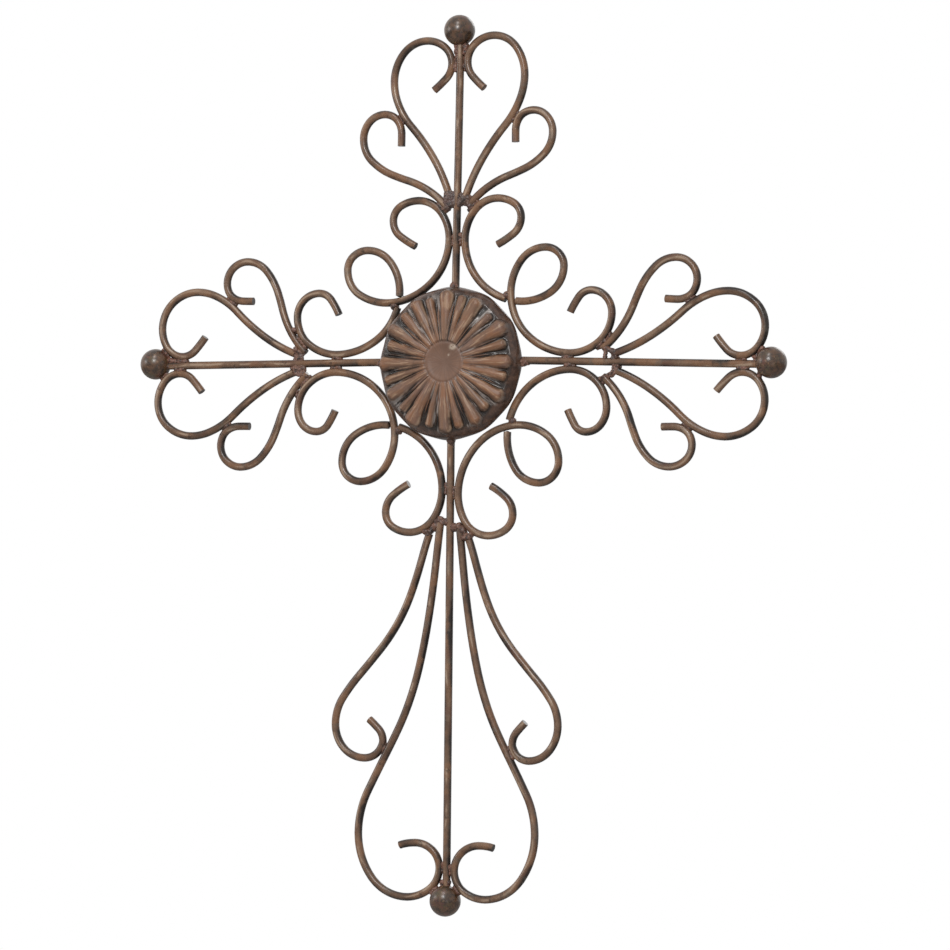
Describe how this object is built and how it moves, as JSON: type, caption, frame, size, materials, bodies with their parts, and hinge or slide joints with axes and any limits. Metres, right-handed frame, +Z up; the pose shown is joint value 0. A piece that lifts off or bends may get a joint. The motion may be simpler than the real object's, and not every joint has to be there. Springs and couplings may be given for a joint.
{
  "type": "wrought iron wall cross",
  "caption": "Decorative wall cross of bent round iron bar, with scrolls along its arms, a fluted sheet rosette at the crossing and a ball on each end.",
  "frame": {"origin": "middle of the bore of the hanging hole, in the tab behind the rosette", "axes": "+Z up along the upright, -Y is the front that faces the room, +Y points into the wall along the hanging hole, +X to the viewer's right"},
  "size_m": [0.4514, 0.0257, 0.578],
  "materials": {
    "bar": "distressed dark brown paint over black iron, matt, with paler ochre rubbing and darker patches",
    "ball": "dark bronze-brown paint, satin, mottled",
    "rosette": "distressed rust-brown paint, satin on the ridges, near black in the grooves"
  },
  "bodies": {
    "root": {"upper_rod": "bar", "lower_rod": "bar", "left_rod": "bar", "right_rod": "bar", "ball_top": "ball", "ball_left": "ball", "ball_right": "ball", "ball_foot": "ball", "top_scroll_left": "bar", "top_scroll_right": "bar", "top_sprig_left": "bar", "top_sprig_right": "bar", "left_scroll_upper": "bar", "left_scroll_lower": "bar", "left_sprig_upper": "bar", "left_sprig_lower": "bar", "right_scroll_upper": "bar", "right_scroll_lower": "bar", "right_sprig_upper": "bar", "right_sprig_lower": "bar", "foot_scroll_left": "bar", "foot_scroll_right": "bar", "foot_sprig_left": "bar", "foot_sprig_right": "bar", "loop_upper_left": "bar", "loop_upper_right": "bar", "loop_lower_left": "bar", "loop_lower_right": "bar", "hook_upper_left": "bar", "hook_upper_right": "bar", "hook_lower_left": "bar", "hook_lower_right": "bar", "rosette": "rosette", "hanging_tab": "bar"}
  },
  "joints": []
}
